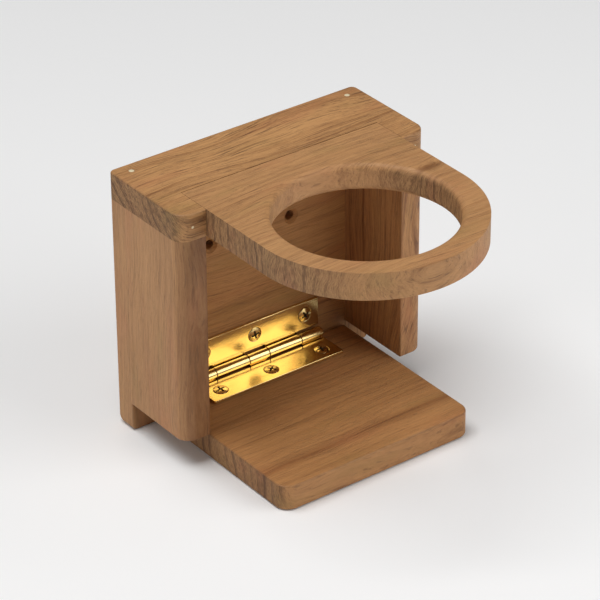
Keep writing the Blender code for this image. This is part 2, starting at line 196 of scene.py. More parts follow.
def solid(colour):
    """A colour for a socket: a link stays as it is, and three numbers get an alpha."""
    return colour if isinstance(colour, Value) else (*colour, 1.0)


def from_screen(red, green, blue):
    """A colour picked as it looks on a screen, 0 to 255, as the linear value that shaders use."""
    def linear(level):
        level = level / 255
        return level / 12.92 if level <= 0.04045 else ((level + 0.055) / 1.055) ** 2.4
    return (linear(red), linear(green), linear(blue))


mid_brown = [round(part, 3) for part in from_screen(150, 110, 70)]
print("mid brown on the screen is", mid_brown, "in the shader")

# %% [markdown]
# ## Oiled teak
#
# Teak is ring-porous: each year leaves a band that starts with wide pores and ends in a thin dark line. A
# board shows those bands as long streaks on its faces and as slanting stripes on its ends. Both are the same
# wood, so the material is solid: it works out the distance from the middle of the tree, bends it with noise,
# and reads the year from it. Mapping nodes set which way the grain runs, where in the log the board was cut,
# and how its years slant on its ends. The end grain drinks more oil, so faces that look along the grain are
# darker and greyer.
#
# Every detail is one noise, stretched along the grain. The sizes below say how fine each one is: how often it
# changes in a millimetre along the grain, out from the middle of the tree, and sideways.

# %% The teak material
PALE_TEAK = from_screen(202, 151, 98)
DEEP_TEAK = from_screen(128, 81, 41)
DARK_STREAK = from_screen(70, 40, 19)
PINK_TEAK = from_screen(184, 122, 80)
OLIVE_TEAK = from_screen(162, 128, 74)
END_GRAIN = (0.72, 0.75, 0.78)
GRAIN_ACROSS = (0.0, 0.0, 0.0)
GRAIN_UPRIGHT = (0.0, math.radians(90), 0.0)
ALONG_X = (1, 0, 0)
ALONG_Z = (0, 0, 1)
PER_MM = (1000.0, 1000.0, 1000.0)
SAME_SIZE = (1.0, 1.0, 1.0)
LEVEL = (0.0, 0.0, 0.0)
BEND_SIZE = (0.008, 0.022, 0.022)
WANDER_SIZE = (0.025, 0.14, 0.14)
FIBRE_SIZE = (0.06, 2.9, 0.45)
HAIR_SIZE = (0.036, 2.9, 0.5)
STREAK_SIZE = (0.014, 0.62, 0.2)
PORE_SIZE = (0.16, 4.6, 2.6)
CLOUD_SIZE = (0.012, 0.05, 0.05)
PATCH_SIZE = (0.022, 0.08, 0.08)
FLECK_SIZE = (0.5, 2.2, 2.2)
RUB_SIZE = (0.4, 0.4, 0.4)
KNOT_SIZE = (0.55, 1.5, 0.3)
KNOT_HEIGHT = 42.5
BEND_MM = 22
KNOT_BEND_MM = 5
PLAIN_DARKNESS = 0.30


def teak(name, turn, shift, slant, heart=260, year_width=3.4, tint=(1.0, 1.0, 1.0), streaks=1.0, contrast=1.0,
         wander=1.4, band=None, knot=None):
    """One board's wood. All lengths are in mm.

    slant is the angle of the years on the board's end, in degrees. heart is how far away the tree's middle
    is, year_width how thick one year is, and wander how far the grain strays. streaks and contrast say how
    strong the dark streaks and the whole figure are. band is (y, half width, strength) of a dark band; on the
    left panel it lies on the front face and is painted shade. knot is (x, y, radius) of a knot in the upper
    face.
    """
    recipe = Recipe(name)
    board = recipe.place(PER_MM)
    wood = recipe.place(SAME_SIZE, turn, shift, board)
    if knot:
        knot_x, knot_y, knot_radius = knot
        knot_middle = (knot_x, knot_y, KNOT_HEIGHT)
        to_knot = tuple(-size * middle for size, middle in zip(KNOT_SIZE, knot_middle))
        from_knot = recipe.place(KNOT_SIZE, LEVEL, to_knot, board)
        reach = recipe.add("ShaderNodeVectorMath", {"operation": "LENGTH"}, {0: from_knot}, "Value")
        swirl = 1 - reach.rise(0.0, 3.2 * knot_radius)
    log = recipe.place(SAME_SIZE, (math.radians(slant), 0.0, 0.0), LEVEL, wood)
    axes = recipe.add("ShaderNodeSeparateXYZ", None, {"Vector": log})
    along = Value(recipe, axes.socket.node.outputs["X"])
    outwards = Value(recipe, axes.socket.node.outputs["Y"])
    sideways = Value(recipe, axes.socket.node.outputs["Z"])

    slow = recipe.noise(recipe.place(BEND_SIZE, start=log))
    quick = recipe.noise(recipe.place(WANDER_SIZE, start=log))
    bend = (slow - 0.5) * BEND_MM + (quick - 0.5) * wander
    if knot:
        bend = bend + swirl * swirl * KNOT_BEND_MM
    out = (outwards + heart) * (outwards + heart)
    distance = (out + sideways * sideways) ** 0.5 + bend
    years = distance / year_width
    season = years.math("FRACT")
    late = season.rise(0.45, 0.93) * (1 - season.rise(0.95, 1.0))
    year_mark = recipe.add("ShaderNodeTexWhiteNoise", {"noise_dimensions": "1D"}, {"W": years.math("FLOOR")})
    late = late * (0.15 + year_mark * 0.85)

    grain = recipe.add("ShaderNodeCombineXYZ", None, {"X": along, "Y": distance, "Z": sideways})
    fibre = recipe.noise(recipe.place(FIBRE_SIZE, start=grain), detail=5.0, roughness=0.66)
    hair_place = recipe.place(HAIR_SIZE, LEVEL, (5.0, 2.0, 9.0), grain)
    hair = recipe.noise(hair_place, detail=3.0, roughness=0.6).rise(0.57, 0.66)
    streak = recipe.noise(recipe.place(STREAK_SIZE, LEVEL, (7.0, 3.0, 1.0), grain), detail=3.0)
    streak = streak.rise(0.54, 0.76) * streaks
    pore = recipe.noise(recipe.place(PORE_SIZE, LEVEL, (1.0, 9.0, 4.0), grain), detail=1.0).rise(0.62, 0.73)
    cloud = recipe.noise(recipe.place(CLOUD_SIZE, LEVEL, (2.0, 5.0, 8.0), log), detail=3.0)
    patch = recipe.noise(recipe.place(PATCH_SIZE, LEVEL, (9.0, 1.0, 3.0), log))
    fleck = recipe.noise(recipe.place(FLECK_SIZE, start=log), roughness=0.7)

    darkness = late * 0.30 + streak * 0.36 + (fibre - 0.5) * 1.25 + (cloud - 0.5) * 0.8 + (fleck - 0.5) * 0.45
    darkness = darkness * contrast + PLAIN_DARKNESS
    # A dark band across the board at one y. On the left panel it covers the front face as painted shade.
    if band:
        band_y, half_width, strength = band
        across = recipe.add("ShaderNodeSeparateXYZ", None, {"Vector": board}, output="Y")
        away = abs(across + (slow - 0.5) * 5 - band_y)
        darkness = darkness + (1 - away.rise(0.2 * half_width, half_width)) * strength
    if knot:
        darkness = darkness + (1 - reach.rise(0.1 * knot_radius, 1.6 * knot_radius)) * 0.7
    colour = recipe.mix(darkness.rise(-0.15, 1.1), PALE_TEAK, DEEP_TEAK)
    colour = recipe.mix(patch.rise(0.52, 0.78) * 0.55, colour, PINK_TEAK)
    colour = recipe.mix(patch.rise(0.46, 0.22) * 0.45, colour, OLIVE_TEAK)
    colour = recipe.mix((hair * 0.50 + pore * 0.34 + streak * 0.14) * contrast, colour, DARK_STREAK)

    normal = recipe.add("ShaderNodeTexCoord", output="Normal")
    grain_way = ALONG_Z if turn == GRAIN_UPRIGHT else ALONG_X
    dot = {"operation": "DOT_PRODUCT"}
    facing = recipe.add("ShaderNodeVectorMath", dot, {0: normal, 1: grain_way}, "Value")
    end = abs(facing).rise(0.6, 1.0)
    end_stripe = 1 - (fibre - 0.5) * (1.4 * contrast) - late * 0.2
    end_colour = recipe.times(colour, END_GRAIN)
    end_colour = recipe.mix((1 - end_stripe.rise(0.80, 1.08)) * 0.75, end_colour, DARK_STREAK)
    colour = recipe.mix(end * 0.92, colour, end_colour)

    worn = recipe.mark("worn_edge")
    rubbed = worn * (0.35 + recipe.noise(recipe.place(RUB_SIZE, start=wood)) * 0.5)
    colour = recipe.mix(rubbed * 0.35, colour, DARK_STREAK)
    colour = recipe.times(colour, tint)

    roughness = 0.50 + fibre * 0.16 + end * 0.12 - worn * 0.08
    height = (fibre - 0.5) * 0.8 - pore * 0.7 - hair * 0.5 - late * 0.2
    return recipe.finish(bump=height, bump_depth=0.00010, Base_Color=colour, Roughness=roughness)


teak_top = teak("teak_top_board", GRAIN_ACROSS, shift=(310, 20, -6), slant=52, year_width=4.2,
                tint=(0.97, 0.96, 0.92), contrast=1.12, wander=0.8)
teak_ring = teak("teak_cup_ring", GRAIN_ACROSS, shift=(40, 160, 22), slant=36, heart=120, year_width=4.0,
                 contrast=0.66, wander=2.2, knot=(41, -73, 3.2))
teak_shelf = teak("teak_drop_shelf", GRAIN_ACROSS, shift=(-220, 80, 90), slant=12, year_width=5.0,
                  tint=(0.96, 0.90, 0.80), contrast=0.58, wander=0.9, band=(-81, 5.0, 0.28))
teak_back = teak("teak_back_panel", GRAIN_ACROSS, shift=(95, -300, 30), slant=74, year_width=6.0,
                 tint=(0.96, 0.88, 0.70), contrast=0.65)
# The band darkens this panel's front face and the edge beside it: painted shade.
teak_left = teak("teak_left_panel", GRAIN_UPRIGHT, shift=(30, 410, 60), slant=34,
                 tint=(0.92, 0.92, 0.94), streaks=0.3, contrast=0.62, band=(-51, 9.0, 0.52))
teak_right = teak("teak_right_panel", GRAIN_UPRIGHT, shift=(-140, -90, 200), slant=28, tint=(1.0, 0.96, 0.92))
print("teak is made of", len(teak_top.node_tree.nodes), "nodes")

# %% [markdown]
# ## Polished brass
#
# A stamped brass hinge is rolled, then buffed to a mirror. Close up it isn't perfect: the buffing wheel
# leaves very fine lines along the hinge, the sheet is slightly wavy, and handling leaves duller clouds. So
# the colour hardly changes, and the work is done by roughness and a shallow bump. The screws' cross recesses
# and the gaps round their heads get painted shade, nearly black and dull, and an attribute marks where. The
# nails are drawn wire, filed off flush with the wood, so they are duller and paler and have file marks; their
# pale colour and low metallic are also partly a painted highlight, which keeps their ends bright.

# %% The brass materials
BRIGHT_BRASS = (0.84, 0.62, 0.26)
WARM_BRASS = (0.76, 0.51, 0.18)
# Pale brass for the filed nail ends, partly a painted highlight.
PALE_BRASS_AND_HIGHLIGHT = (0.95, 0.82, 0.55)
# Painted shade: the near-black colour of the screws' cross recesses and the cone under their heads.
PAINTED_RECESS_SHADE = (0.045, 0.026, 0.010)
BUFFING_SIZE = (0.06, 9.0, 9.0)
DULLNESS_SIZE = (0.12, 0.16, 0.16)
WAVE_SIZE = (0.05, 0.11, 0.11)


def brass(name, bright, warm, gloss, line_depth, metal=1.0):
    """gloss is the roughness of clean brass, and line_depth how deep its buffing or file marks are."""
    recipe = Recipe(name)
    spot = recipe.place(PER_MM)
    lines = recipe.noise(recipe.place(BUFFING_SIZE, start=spot), detail=3.0, roughness=0.6)
    clouds = recipe.noise(recipe.place(DULLNESS_SIZE, LEVEL, (4.0, 1.0, 7.0), spot), detail=3.0)
    waves = recipe.noise(recipe.place(WAVE_SIZE, start=spot), detail=1.0)
    stain = clouds.rise(0.50, 0.78)
    # Painted shade: where the attribute marks a screw's recess or the cone under its head, the brass is
    # painted nearly black, duller and less metallic.
    recess_shade = recipe.mark("recess_shade")
    colour = recipe.mix(stain * 0.6, bright, warm)
    colour = recipe.mix(recess_shade * 0.93, colour, PAINTED_RECESS_SHADE)
    roughness = gloss + stain * 0.10 + (lines - 0.5) * 0.05 + recess_shade * 0.4
    height = (lines - 0.5) * line_depth + waves * 1.2
    metallic = metal - recess_shade * 0.8 * metal
    return recipe.finish(bump=height, bump_depth=0.00006, Base_Color=colour, Metallic=metallic,
                         Roughness=roughness)


hinge_brass = brass("hinge_brass", BRIGHT_BRASS, WARM_BRASS, gloss=0.13, line_depth=0.25)
# The nails' pale colour and low metallic are partly a painted highlight, so that their ends read as bright
# spots.
nail_brass = brass("nail_brass", PALE_BRASS_AND_HIGHLIGHT, BRIGHT_BRASS, gloss=0.45, line_depth=0.5, metal=0.35)
print("brass is made of", len(hinge_brass.node_tree.nodes), "nodes")

# %% [markdown]
# ## Tools for the shapes
#
# Every board starts as a cube that is stretched between two corners. Bevel turns its corner edges into the
# rounded corners of the board, then rounds what is still sharp, as a maker does with a plane and sandpaper.
# The faces that the second bevel makes are marked in an attribute, so the teak can be darker and smoother
# where hands rub it.


# %% Blocks, chosen edges and rounded edges
NEAR = 0.1 * MM
SAME_POINT = 1e-7
SHARP_EDGE = math.radians(50)


def block(low, high):
    """A box between two corners."""
    shape = bmesh.new()
    bmesh.ops.create_cube(shape, size=1.0)
    low, high = Vector(low), Vector(high)
    bmesh.ops.scale(shape, vec=high - low, verts=shape.verts)
    bmesh.ops.translate(shape, vec=(low + high) / 2, verts=shape.verts)
    return shape


def edges_along(shape, axis, test=lambda middle: True):
    """The edges that run along an axis and whose middle passes a test."""
    chosen = []
    for edge in shape.edges:
        run = (edge.verts[1].co - edge.verts[0].co).normalized()
        if abs(run[axis]) > 0.99 and test((edge.verts[0].co + edge.verts[1].co) / 2):
            chosen.append(edge)
    return chosen


def round_edges(shape, edges, radius, segments):
    """Bevels edges to a radius, and returns the faces that this made."""
    made = bmesh.ops.bevel(shape, geom=edges, offset=radius, offset_type="OFFSET", affect="EDGES",
                           segments=segments, profile=0.5, material=-1, clamp_overlap=True)
    return made["faces"]


def sand_edges(shape, radius, segments=4, spare=lambda edge: False):
    """Rounds every edge that is still sharp, and marks what it made as worn."""
    sharp = [edge for edge in shape.edges if edge.calc_face_angle(0.0) > SHARP_EDGE and not spare(edge)]
    rounded = set(round_edges(shape, sharp, radius, segments))
    worn = shape.loops.layers.float.new("worn_edge")
    for face in rounded:
        for corner in face.loops:
            inside = all(neighbour in rounded for neighbour in corner.vert.link_faces)
            corner[worn] = 1.0 if inside else 0.0
    return shape


def spun(profile, segments=48):
    """A turned shape from (radius, height) points that start and end on the Z axis."""
    shape = bmesh.new()
    verts = [shape.verts.new((radius, 0.0, height)) for radius, height in profile]
    edges = [shape.edges.new(pair) for pair in zip(verts, verts[1:])]
    bmesh.ops.spin(shape, geom=verts + edges, cent=(0, 0, 0), axis=(0, 0, 1), angle=math.tau,
                   steps=segments, use_merge=True)
    bmesh.ops.remove_doubles(shape, verts=shape.verts, dist=SAME_POINT)
    bmesh.ops.recalc_face_normals(shape, faces=shape.faces)
    return shape


def aimed(shape, at, way):
    """Turns a shape from +Z to a direction and moves it to a point."""
    turn = Vector((0, 0, 1)).rotation_difference(Vector(way)).to_matrix().to_4x4()
    bmesh.ops.transform(shape, matrix=Matrix.Translation(at) @ turn, verts=shape.verts)
    return shape


print("a cube has", len(edges_along(block((0, 0, 0), (1, 1, 1)), 2)), "upright edges")

# %% [markdown]
# Holes are drilled with Boolean modifiers that are applied straight away, so the cutters can be thrown out
# again. `fit_out` is the last step for each piece: it shades it, gives it its finish, hides the plain solid
# that it stands for, and lets it ride on the same body. The one modifier that stays is Weighted Normal, which
# keeps flat faces flat to the eye beside their rounded edges.


# %% Drilling, and handing a piece over to the frame
def as_object(name, shape):
    """Turns a bmesh into an object of the scene."""
    mesh = bpy.data.meshes.new(name)
    shape.to_mesh(mesh)
    shape.free()
    piece = bpy.data.objects.new(name, mesh)
    bpy.context.scene.collection.objects.link(piece)
    return piece


def settle(piece):
    """Applies a piece's modifiers."""
    graph = bpy.context.evaluated_depsgraph_get()
    mesh = bpy.data.meshes.new_from_object(piece.evaluated_get(graph), depsgraph=graph)
    piece.modifiers.clear()
    piece.data = mesh
    mesh.name = piece.name


def drill(piece, *cutters):
    """Takes each shape away from a piece."""
    for shape in cutters:
        tool = as_object("tool", shape)
        cut = piece.modifiers.new("cut", "BOOLEAN")
        cut.operation = "DIFFERENCE"
        cut.solver = "EXACT"
        cut.object = tool
        settle(piece)
        bpy.data.objects.remove(tool, do_unlink=True)


def fit_out(piece, node, material, smooth_angle=32):
    """Shades a piece, gives it its finish, and puts it in its node's place."""
    body = next(name for name, nodes in bodies.items() if node in nodes)
    piece.data.shade_smooth()
    piece.data.set_sharp_from_angle(angle=math.radians(smooth_angle))
    weighted = piece.modifiers.new("flat_faces_stay_flat", "WEIGHTED_NORMAL")
    weighted.keep_sharp = True
    piece.data.materials.clear()
    piece.data.materials.append(material)
    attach(piece, body)
    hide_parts(node)
    print(piece.name, "rides on", body, "with", len(piece.data.polygons), "faces")


print("pieces can ride on the bodies", ", ".join(bodies))

# %% [markdown]
# ## The case
#
# Four boards make the case. Each side panel is one board as deep as the case, cut short in front, so that it
# ends in a foot at the back. The back panel is glued between the two, and the top board covers them all. A
# good glue line can hardly be seen: the edges that meet there stay sharp, and only a hair's breadth is left
# between the boards.
#
# A side panel could be a block with a Boolean cut for its foot. It is drawn as a flat outline and extruded
# instead, because the foot is then part of the outline and its corners are clean edges to bevel. The left
# panel is the right one, mirrored.

# %% Sizes that the boards share
FRONT_CORNER = 6.0 * MM
BACK_CORNER = 2.5 * MM
FOOT_CORNER = 3.5 * MM
SANDED = 0.7 * MM
BACK_SANDED = 0.4 * MM
GLUE_LINE = 0.03 * MM
FRONT_DROP = 102.0 * MM
CORNER_SEGMENTS = 14
top_low, top_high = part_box("top_board")
back_low, back_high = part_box("back_panel")
side_low, side_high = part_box("left_side_panel")
ring_low, ring_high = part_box("cup_ring")
shelf_low, shelf_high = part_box("drop_shelf")
inner_half = -side_high.x
notch_back = ring_high.y + (inner_half - ring_high.x)
print("the case is open", round(2 * inner_half / MM, 1), "mm wide")


# %% A flat outline pulled into a board, and the joint that stays sharp
def pulled(points, pull):
    """Makes one face of the points and extrudes it."""
    shape = bmesh.new()
    face = shape.faces.new([shape.verts.new(point) for point in points])
    grown = bmesh.ops.extrude_face_region(shape, geom=[face])
    moved = [item for item in grown["geom"] if isinstance(item, bmesh.types.BMVert)]
    bmesh.ops.translate(shape, verts=moved, vec=pull)
    bmesh.ops.recalc_face_normals(shape, faces=shape.faces)
    return shape


def under_top(edge):
    """Whether an edge lies where the boards meet under the top board."""
    return all(abs(v.co.z - top_low.z) < NEAR and abs(v.co.x) > inner_half - NEAR for v in edge.verts)


# %% Side panels
def side_panel(side, name, node, material):
    """The panel on the right, or mirrored for side -1."""
    outer = -side_low.x
    crown = top_low.z - GLUE_LINE
    step = top_high.z - FRONT_DROP
    outline = [(side_low.y, crown), (side_low.y, step), (back_low.y, step), (back_low.y, side_low.z)]
    outline += [(0, side_low.z), (0, crown)]
    shape = pulled([(inner_half, y, z) for y, z in outline], (outer - inner_half, 0, 0))
    foot_corner = edges_along(shape, 0, lambda at: at.z < side_low.z + MM and at.y > -MM)
    round_edges(shape, foot_corner, FOOT_CORNER, CORNER_SEGMENTS)
    outside = [edge for edge in shape.edges if min(v.co.x for v in edge.verts) > outer - NEAR]
    in_front = [edge for edge in outside if max(v.co.y for v in edge.verts) < side_low.y + NEAR]
    behind = []
    for edge in outside:
        at_back = min(v.co.y for v in edge.verts) > -FOOT_CORNER - NEAR
        under_foot = max(v.co.z for v in edge.verts) < side_low.z + NEAR
        if (at_back or under_foot) and min(v.co.z for v in edge.verts) < crown - MM:
            behind.append(edge)
    round_edges(shape, in_front, FRONT_CORNER, CORNER_SEGMENTS)
    outside_rear = [edge for edge in behind if edge.is_valid]
    round_edges(shape, outside_rear, BACK_CORNER, CORNER_SEGMENTS // 2)
    sand_edges(shape, SANDED, spare=under_top)
    if side < 0:
        bmesh.ops.scale(shape, vec=(-1, 1, 1), verts=shape.verts)
        bmesh.ops.reverse_faces(shape, faces=shape.faces)
    fit_out(as_object(name, shape), node, material)


side_panel(-1, "teak_left_side", "left_side_panel", teak_left)
side_panel(1, "teak_right_side", "right_side_panel", teak_right)

# %% [markdown]
# The back panel reaches down between the feet, where the dropped shelf leans on it. It has the two holes for
# the wall screws, each drilled through and sunk with a countersink bit from the front. The bit's outline is
# spun into one cutter, so a single cut makes the hole and its cone.

# %% Back panel
WALL_HOLE = 2.1 * MM
WALL_HOLE_SINK = 3.4 * MM
WALL_HOLE_SPREAD = 20.0 * MM
THROUGH = 20 * MM

back_half = inner_half - GLUE_LINE
shape = block((-back_half, back_low.y, back_low.z), (back_half, back_high.y, top_low.z - GLUE_LINE))


def glued(edge):
    """Whether an edge lies against a side panel or under the top board."""
    at_side = min(abs(v.co.x) for v in edge.verts) > back_half - NEAR
    return at_side or edge.verts[0].co.z > top_low.z - MM


sand_edges(shape, BACK_SANDED, spare=glued)
back_panel = as_object("teak_back", shape)
sunk = [(0, -MM), (WALL_HOLE_SINK + MM, -MM), (WALL_HOLE, WALL_HOLE_SINK - WALL_HOLE)]
sunk += [(WALL_HOLE, THROUGH), (0, THROUGH)]
for spread in (-WALL_HOLE_SPREAD, WALL_HOLE_SPREAD):
    drill(back_panel, aimed(spun(sunk), (spread, back_low.y, 0), (0, 1, 0)))
fit_out(back_panel, "back_panel", teak_back)

# %% [markdown]
# The top board is a rectangle with a notch in its front, which leaves an ear each side. Eight points make the
# outline, extrude gives the thickness, and bevel does the corners. The ears are drilled for the ring's two
# pivot pins, and for the small nails that lock those pins.

# %% Top board
outline = [(top_low.x, top_high.y), (top_low.x, top_low.y)]
outline += [(-inner_half, top_low.y), (-inner_half, notch_back)]
outline += [(-x, y) for x, y in reversed(outline)]
shape = pulled([(x, y, top_low.z) for x, y in outline], (0, 0, top_high.z - top_low.z))
ear_corners = edges_along(shape, 2, lambda at: abs(at.x) > inner_half + MM and at.y < notch_back)
rear_corners = edges_along(shape, 2, lambda at: at.y > top_high.y - MM)
round_edges(shape, ear_corners, FRONT_CORNER, CORNER_SEGMENTS)
round_edges(shape, rear_corners, BACK_CORNER, CORNER_SEGMENTS // 2)


def in_notch(edge):
    """Whether an edge borders the notch, where the tongue's seams stay fine and crisp."""
    return all(abs(v.co.x) < inner_half + NEAR and v.co.y > top_low.y - MM for v in edge.verts)


sand_edges(shape, SANDED, spare=lambda edge: in_notch(edge) or under_top(edge))
top_board = as_object("teak_top", shape)
print("its notch is", round((notch_back - top_low.y) / MM, 1), "mm deep")

# %% Holes for the pivot pins and the nails
PIN_FIT = 0.03 * MM
pin_low, pin_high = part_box("ring_pivot_pin_right")
pin_radius = (pin_high.z - pin_low.z) / 2
lock_low, lock_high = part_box("pivot_lock_nail_right")
lock_radius = (lock_high.z - lock_low.z) / 2
lock_middle = (lock_low + lock_high) / 2
nail_low, nail_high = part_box("top_nail_right")
nail_radius = (nail_high.x - nail_low.x) / 2
nail_middle = (nail_low + nail_high) / 2


def bore(radius, depth):
    """A round cutter that starts a little above the surface."""
    return spun([(0, -MM), (radius, -MM), (radius, depth), (0, depth)], 32)


for side in (-1, 1):
    drill(top_board, aimed(bore(pin_radius + PIN_FIT, pin_high.x - inner_half + PIN_FIT),
                           (side * inner_half, pivot_axis.y, pivot_axis.z), (side, 0, 0)))
    drill(top_board, aimed(bore(lock_radius + PIN_FIT, lock_high.y - lock_low.y),
                           (side * lock_middle.x, top_low.y, lock_middle.z), (0, 1, 0)))
    drill(top_board, aimed(bore(nail_radius + PIN_FIT, THROUGH),
                           (side * nail_middle.x, nail_middle.y, top_high.z), (0, 0, -1)))
fit_out(top_board, "top_board", teak_top)

# %% [markdown]
# ## The cup ring
#
# The ring is one board: a round front, a round hole, and a square tongue that turns between the ears. A bevel
# as wide as half the board turns the two front corners into one half circle. The lower back edge is rounded
# about the pivot, so that the tongue clears the notch when the ring swings down. Both rims of the hole are
# well rounded, for a cup to slide in. The tongue fits the notch closely, because only that fit holds the ring
# level.

# %% Cup ring
HOLE_RADIUS = 36.3 * MM
HOLE_ROUNDING = 2.8 * MM
RIM_ROUNDING = 0.8 * MM
TONGUE_SIDE_FIT = 0.12 * MM
TONGUE_BACK_FIT = 0.42 * MM
RING_SEGMENTS = 48
HOLE_SEGMENTS = 160
JUST_UNDER_HALF = 0.99999
ring_half = inner_half - TONGUE_SIDE_FIT
hole_centre = Vector((0, ring_low.y + ring_high.x, 0))
half_thickness = (ring_high.z - ring_low.z) / 2

shape = block((-ring_half, ring_low.y, ring_low.z), (ring_half, notch_back - TONGUE_BACK_FIT, ring_high.z))
front_corners = edges_along(shape, 2, lambda at: at.y < ring_low.y + MM)
round_edges(shape, front_corners, ring_half * JUST_UNDER_HALF, RING_SEGMENTS)
bmesh.ops.remove_doubles(shape, verts=shape.verts, dist=0.01 * MM)
heel = edges_along(shape, 0, lambda at: at.y > ring_high.y - MM and at.z < pivot_axis.z)
round_edges(shape, heel, half_thickness, 16)
sand_edges(shape, RIM_ROUNDING, spare=lambda edge: min(v.co.y for v in edge.verts) > pivot_axis.y - NEAR)
cup_ring = as_object("teak_ring", shape)
ring_mm = [round(2 * half / MM, 2) for half in (ring_half, half_thickness)]
print("the ring is", ring_mm[0], "mm wide and", ring_mm[1], "mm thick")


# %% The ring's hole
def quarter(centre_radius, centre_height, radius, start, end, steps=12):
    """Points of a rounded rim for a turned cutter, angles in degrees."""
    points = []
    for step in range(steps + 1):
        angle = math.radians(start + (end - start) * step / steps)
        points.append((centre_radius + radius * math.cos(angle), centre_height + radius * math.sin(angle)))
    return points


round_centre = HOLE_RADIUS + HOLE_ROUNDING
short_of_flat = 3
upper_rim = quarter(round_centre, ring_high.z - HOLE_ROUNDING, HOLE_ROUNDING, 180, 90 + short_of_flat)
lower_rim = quarter(round_centre, ring_low.z + HOLE_ROUNDING, HOLE_ROUNDING, 270 - short_of_flat, 180)
past = 0.6 * MM
hole = [(0, ring_low.z - past), (lower_rim[0][0], ring_low.z - past)] + lower_rim + upper_rim
hole += [(upper_rim[-1][0], ring_high.z + past), (0, ring_high.z + past)]
drill(cup_ring, aimed(spun(hole, HOLE_SEGMENTS), hole_centre, (0, 0, 1)))
for side in (-1, 1):
    drill(cup_ring, aimed(bore(pin_radius + PIN_FIT, ring_half - pin_low.x + 0.5 * MM),
                          (side * ring_half, pivot_axis.y, pivot_axis.z), (-side, 0, 0)))
fit_out(cup_ring, "cup_ring", teak_ring)

# %% [markdown]
# ## The drop shelf
#
# The shelf is a plain board with rounded front corners, so a block with two bevels is enough. The wood screws
# of its hinge leaf cut their own thread in it and leave no gap round them, so it isn't drilled.

# %% Drop shelf
shape = block(shelf_low, shelf_high)
front_corners = edges_along(shape, 2, lambda at: at.y < shelf_low.y + MM)
round_edges(shape, front_corners, FRONT_CORNER, CORNER_SEGMENTS)
sand_edges(shape, SANDED)
fit_out(as_object("teak_shelf", shape), "drop_shelf", teak_shelf)

# %% [markdown]
# ## The hinge
#
# A butt hinge leaf is a strip of sheet brass whose edge is rolled round the pin, then slotted so that the two
# leaves' knuckles interlock. It is made the same way here: a short chain of edges is spun round the pin,
# extruded along the hinge one knuckle at a time, and the faces in the other leaf's knuckles are deleted.
# Solidify gives the sheet its thickness. Both leaves are made lying flat, and the wall leaf is then turned
# upright round the pin.

# %% Hinge sizes
leaf_low, leaf_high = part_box("hinge_shelf_leaf")
KNUCKLE_RADIUS = leaf_high.z - hinge_axis.z
LEAF_THICKNESS = 1.2 * MM
LEAF_REACH = hinge_axis.y - leaf_low.y
HINGE_HALF = leaf_high.x
KNUCKLE_JOINTS = (5.05 * MM, 21.6 * MM)
KNUCKLE_GAP = 0.26 * MM
SLOT_REACH = KNUCKLE_RADIUS + 0.7 * MM
ROLLED = math.radians(286)
ROLL_STEPS = 44
LEAF_CORNER = 0.7 * MM
STAMPED_EDGE = 0.3 * MM
SCREW_SETBACK = 10.0 * MM
SCREW_PLACES = (-25.5 * MM, 0.0, 25.5 * MM)
SCREW_HEAD = 3.1 * MM
HEAD_GAP = 0.14 * MM
TOUCHING = 1e-6
hinge_mm = [round(2 * half / MM, 1) for half in (HINGE_HALF, LEAF_REACH)]
print("the hinge is", hinge_mm[0], "mm long and opens to", hinge_mm[1], "mm")


# %% One leaf, lying along -Y with its pin on the X axis
def knuckle_stations():
    """Places along the hinge where a knuckle or a gap starts, and which leaf owns each stretch."""
    inner, outer = KNUCKLE_JOINTS
    gap = KNUCKLE_GAP / 2
    stations = [-HINGE_HALF]
    owners = []
    for joint, owner in ((-outer, "shelf"), (-inner, "wall"), (inner, "shelf"), (outer, "wall")):
        stations += [joint - gap, joint + gap]
        owners += [owner, "gap"]
    return stations + [HINGE_HALF], owners + ["shelf"]


def leaf_sheet(mine):
    """The bare sheet of one leaf, with only its own knuckles."""
    shape = bmesh.new()
    edge_end = shape.verts.new((-HINGE_HALF, -LEAF_REACH, -KNUCKLE_RADIUS))
    slot_end = shape.verts.new((-HINGE_HALF, -SLOT_REACH, -KNUCKLE_RADIUS))
    under_pin = shape.verts.new((-HINGE_HALF, 0, -KNUCKLE_RADIUS))
    shape.edges.new((edge_end, slot_end))
    shape.edges.new((slot_end, under_pin))
    bmesh.ops.spin(shape, geom=[under_pin], cent=(-HINGE_HALF, 0, 0), axis=(1, 0, 0), angle=ROLLED,
                   steps=ROLL_STEPS)
    bmesh.ops.remove_doubles(shape, verts=shape.verts, dist=SAME_POINT)
    stations, owners = knuckle_stations()
    chain = list(shape.edges)
    for here, there in zip(stations, stations[1:]):
        grown = bmesh.ops.extrude_edge_only(shape, edges=chain)["geom"]
        verts = [item for item in grown if isinstance(item, bmesh.types.BMVert)]
        chain = [item for item in grown if isinstance(item, bmesh.types.BMEdge)
                 and all(abs(v.co.x - here) < TOUCHING for v in item.verts) and item.verts[0] in verts]
        bmesh.ops.translate(shape, verts=verts, vec=(there - here, 0, 0))
    gone = []
    for face in shape.faces:
        middle = face.calc_center_median()
        stretch = max(i for i, start in enumerate(stations[:-1]) if middle.x > start)
        if owners[stretch] != mine and middle.y > -SLOT_REACH:
            gone.append(face)
    bmesh.ops.delete(shape, geom=gone, context="FACES")
    at_ends = [v for v in shape.verts if abs(abs(v.co.x) - HINGE_HALF) < TOUCHING]
    corners = [v for v in at_ends if v.co.y < -LEAF_REACH + TOUCHING]
    bmesh.ops.bevel(shape, geom=corners, offset=LEAF_CORNER, affect="VERTICES", segments=5, profile=0.5,
                    material=-1, clamp_overlap=True)
    bmesh.ops.recalc_face_normals(shape, faces=shape.faces)
    return shape


def sink(depth):
    """The cone that a countersink bit cuts for a screw head."""
    rim = SCREW_HEAD + HEAD_GAP
    return [(0, -MM), (rim + MM, -MM), (rim - depth - MM, depth + MM), (0, depth + MM)]


